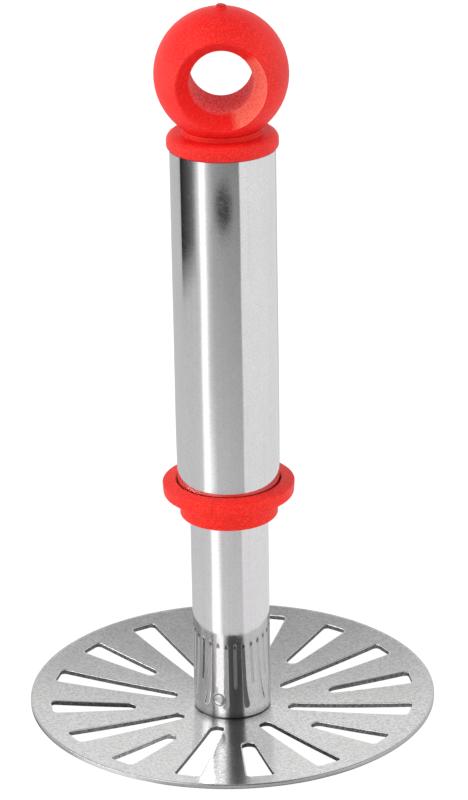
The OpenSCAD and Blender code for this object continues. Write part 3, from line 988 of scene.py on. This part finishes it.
def area_light(name, azimuth, elevation, distance, size, power, aim_z, mirrored):
    """A soft box that faces a point on the object's axis. Azimuth 0 is the camera's side, positive to
    the right. Where mirrored is false, polished metal doesn't show it."""
    data = bpy.data.lights.new(name, "AREA")
    data.shape = "RECTANGLE"
    data.size, data.size_y = size
    data.energy = power
    light = bpy.data.objects.new(name, data)
    a, e = math.radians(azimuth), math.radians(elevation)
    back = Vector((math.sin(a) * math.cos(e), -math.cos(a) * math.cos(e), math.sin(e)))
    light.location = Vector((0, 0, aim_z)) + back * distance
    light.rotation_mode = "QUATERNION"
    light.rotation_quaternion = (-back).to_track_quat("-Z", "Y")
    light.visible_glossy = mirrored
    bpy.context.scene.collection.objects.link(light)


def build_floor():
    """Back-lit white floor, so that no shadow shows on it and the slots look through to white."""
    half = 6.0
    corners = [(-half, -half, 0), (half, -half, 0), (half, half, 0), (-half, half, 0)]
    floor = mesh_object("studio_floor", corners, [(0, 1, 2, 3)])
    m = Nodes("pale_floor")
    paper = m.noise(900, 3, 0.6)
    m.colour(m.range(paper, 0.3, 0.7, 0.14, 0.16))
    m.set(Roughness=0.9, Specular_IOR_Level=0.0, Emission_Strength=0.97)
    m.shader.inputs["Emission Color"].default_value = (1, 1, 1, 1)
    floor.data.materials.append(m.material)


def glowing(name):
    """A card that gives off as much light as its own light attribute says."""
    m = Nodes(name)
    m.link(m.attribute("light"), m.shader.inputs["Emission Strength"])
    m.set(Roughness=1.0, Specular_IOR_Level=0.0)
    m.shader.inputs["Base Color"].default_value = (0, 0, 0, 1)
    m.shader.inputs["Emission Color"].default_value = (1, 1, 1, 1)
    return m.material


def reflected_only(card):
    """Keeps a card out of the picture: polished metal mirrors it, and nothing else sees it."""
    card.visible_camera = False
    card.visible_diffuse = False
    card.visible_shadow = False
    card.visible_transmission = False


def card_grid(name, azimuths, steps, place, light):
    """A card as a grid of points place(azimuth, step), lit as light(azimuth, step) says."""
    columns = math.ceil(azimuths[1] - azimuths[0])
    points, glow = [], []
    for i in range(columns + 1):
        azimuth = azimuths[0] + (azimuths[1] - azimuths[0]) * i / columns
        for k in range(steps + 1):
            points.append(place(math.radians(azimuth), k / steps))
            glow.append(light(azimuth, k / steps))
    faces = []
    for i in range(columns):
        for k in range(steps):
            at = i * (steps + 1) + k
            faces.append((at, at + 1, at + steps + 2, at + steps + 1))
    card = mesh_object(name, points, faces)
    set_attribute(card, "light", glow)
    card.data.materials.append(glowing(name))
    reflected_only(card)


def blended(stops, at):
    """A value read between stops of (place, value)."""
    return float(np.interp(at, [stop[0] for stop in stops], [stop[1] for stop in stops]))


# Light of the tabletop card round the object, by azimuth in degrees from the camera's side (positive to
# the right): close in, where the shaft mirrors it, then further out and at the far edge, for the handle.
TABLE_LIGHT = [
    (-180, 0.50, 0.42, 0.40), (-160, 0.64, 0.62, 0.62), (-118, 0.72, 0.68, 0.62),
    (-110, 0.74, 0.66, 0.55), (-84, 0.74, 0.66, 0.60), (-64, 0.78, 0.68, 0.66),
    (-57, 0.82, 0.74, 0.80), (-50, 1.45, 1.50, 1.60), (-42, 1.60, 1.50, 1.50),
    (-38, 1.60, 1.00, 0.90), (-33, 1.50, 0.72, 0.66), (-28, 1.10, 0.62, 0.48),
    (-22, 0.76, 0.56, 0.38), (10, 0.70, 0.50, 0.27), (33, 0.70, 0.47, 0.25),
    (36, 0.88, 0.92, 0.96), (90, 0.88, 0.92, 0.92), (150, 0.84, 0.84, 0.84),
    (164, 0.60, 0.52, 0.52), (180, 0.50, 0.42, 0.40)]
TABLE_NEAR, TABLE_MIDDLE, TABLE_FAR, TABLE_EDGE = 54 * MM, 250 * MM, 500 * MM, 800 * MM
TABLE_BLEND = (TABLE_FAR + 12 * MM, TABLE_FAR + 130 * MM)

# A dark flag on the tabletop card at far left, for the dark band down the handle's left side.
FLAG_ACROSS = [
    (-107, 0), (-104, 1), (-92, 0.94), (-80, 0.86), (-71, 0.74), (-65, 0.45), (-61, 0.12), (-58, 0)]
FLAG_ALONG = [(0.300, 0), (0.350, 1), (0.540, 1), (0.640, 0)]
FLAG_TURN, FLAG_SHIFT, FLAG_DARKNESS = -100, 0.0006, 0.96
# A dark patch on it in front, for the soft dark patch high on the handle.
PATCH_TURN, PATCH_HALF_TURN, PATCH_R, PATCH_HALF_R, PATCH_DARKNESS = -1, 20, 0.408, 0.026, 0.88

# Light by azimuth of the card's far part, of the small card under the disc, and of the upright card.
BEYOND_TABLE = [
    (-180, 0.5), (-135, 0.9), (-120, 2.6), (-55, 2.6), (-35, 1.0), (-20, 0.2), (40, 0.2), (60, 0.5),
    (180, 0.5)]
UNDER_DISC = [
    (-180, 0.50), (-110, 0.55), (-95, 0.45), (-86, 0.14), (-78, 0.14), (-70, 0.45), (-57, 0.50), (-50, 1.20),
    (-26, 1.30), (-20, 0.46), (-10, 0.40), (0, 0.20), (35, 0.13), (46, 0.50), (70, 0.60), (180, 0.50)]
WALL_LIGHT = [
    (-74, 0.70), (-66, 0.55), (-62, 0.22), (-57, 0.30), (-54, 0.80), (-47, 0.90), (-43, 2.00), (-26, 2.00),
    (-22, 0.80), (-17, 0.65), (-11, 0.14), (5, 0.08), (31, 0.10), (35, 0.35), (39, 1.00), (80, 1.00),
    (140, 0.95)]
TABLE_Z, UNDER_Z = 0.4 * MM, 0.2 * MM
FAR_SPAN = 2.4
UNDER_NEAR, UNDER_SPAN = 0.002, 0.052
WALL_R, WALL_FROM, WALL_HEIGHT = 1.5, 0.02, 1.60


def table_light(azimuth, reach):
    """Light of the tabletop card, with its flag and its patch."""
    r = TABLE_NEAR + reach * (TABLE_EDGE - TABLE_NEAR)
    rings = [blended([(row[0], row[column]) for row in TABLE_LIGHT], azimuth) for column in (1, 2, 3)]
    rings += [rings[2], blended(BEYOND_TABLE, azimuth)]
    light = blended(list(zip((TABLE_NEAR, TABLE_MIDDLE, TABLE_FAR, *TABLE_BLEND), rings)), r)
    flag_r = r - FLAG_SHIFT * abs(azimuth - FLAG_TURN)
    flag = blended(FLAG_ACROSS, azimuth) * blended(FLAG_ALONG, flag_r)
    across, along = (azimuth - PATCH_TURN) / PATCH_HALF_TURN, (r - PATCH_R) / PATCH_HALF_R
    patch = math.exp(-(across ** 2 + along ** 2) ** 2)
    return light * (1 - FLAG_DARKNESS * flag) * (1 - PATCH_DARKNESS * patch)


def around(r, a, z):
    """A point at azimuth a, at r from the object's axis."""
    return (r * math.sin(a), -r * math.cos(a), z)


def build_cards():
    """The tabletop's near and far card, the card under the disc, and the upright one."""

    def table_place(a, k):
        return around(TABLE_NEAR + k * (TABLE_EDGE - TABLE_NEAR), a, TABLE_Z)

    def far_place(a, k):
        return around(TABLE_EDGE + FAR_SPAN * k * k, a, TABLE_Z)

    def far_light(azimuth, k):
        return blended([(0, blended(BEYOND_TABLE, azimuth)), (0.7, 0.85), (1, 0.95)], k)

    def under_place(a, k):
        return around(UNDER_NEAR + k * UNDER_SPAN, a, UNDER_Z)

    def under_light(azimuth, k):
        return blended(UNDER_DISC, azimuth)

    def wall_place(a, k):
        return around(WALL_R, a, WALL_FROM + WALL_HEIGHT * k)

    def wall_light(azimuth, k):
        return blended(WALL_LIGHT, azimuth)

    card_grid("card_table", (-180, 180), 74, table_place, table_light)
    card_grid("card_table_far", (-180, 180), 10, far_place, far_light)
    card_grid("card_under_disc", (-180, 180), 2, under_place, under_light)
    card_grid("card_wall", (-74, 140), 2, wall_place, wall_light)


WORLD_LIGHT = [(0.16, 0.97), (0.39, 0.94), (0.47, 0.76), (0.58, 0.47), (0.75, 0.24)]
WORLD_STRENGTH = 1.05


def build_world():
    """A soft dome that is brightest low down."""
    world = bpy.data.worlds.new("studio")
    world.use_nodes = True
    tree = world.node_tree
    split = tree.nodes.new("ShaderNodeSeparateXYZ")
    tree.links.new(tree.nodes.new("ShaderNodeTexCoord").outputs["Generated"], split.inputs["Vector"])
    ramp = tree.nodes.new("ShaderNodeValToRGB")
    set_stops(ramp.color_ramp, WORLD_LIGHT)
    tree.links.new(split.outputs["Z"], ramp.inputs["Fac"])
    tree.links.new(ramp.outputs["Color"], tree.nodes["Background"].inputs["Color"])
    tree.nodes["Background"].inputs["Strength"].default_value = WORLD_STRENGTH
    bpy.context.scene.world = world


# name, azimuth and elevation in degrees, distance, (width, height), watts, height aimed at, mirrored
LIGHTS = [
    ("key_left", -75, 54, 1.0, (0.7, 0.5), 3.7, 0.12, True),
    ("strip_left", -80, 5, 0.9, (0.6, 0.14), 1.8, 0.14, True),
    ("fill_right", 60, 50, 1.2, (0.9, 0.9), 2.4, 0.12, False),
    ("fill_top", 30, 76, 1.2, (0.9, 0.9), 3.0, 0.12, False)]


def build_studio():
    build_world()
    build_floor()
    build_cards()
    for light in LIGHTS:
        area_light(*light)
    scene = bpy.context.scene
    scene.view_settings.view_transform = "Standard"
    scene.cycles.use_denoising = True


# ---------------------------------------------------------------- build

finish_nodes()
place(build_disc(), "head", "disc_steel", "masher_disc")
place(build_shaft(), "head", "polished_shaft", "shaft_tube")
place(build_rivets(), "head", "fastener_steel", "hub_rivets")
spring = build_spring()
place(spring, "head", "spring_steel", "return_spring")
place(build_handle(), "handle", "polished_handle", "handle_tube")
place(build_ring(), "handle", "red_ring", "guard_ring")
place(build_cap(), "handle", "red_cap", "end_cap")

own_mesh(spring)

build_camera()
build_studio()
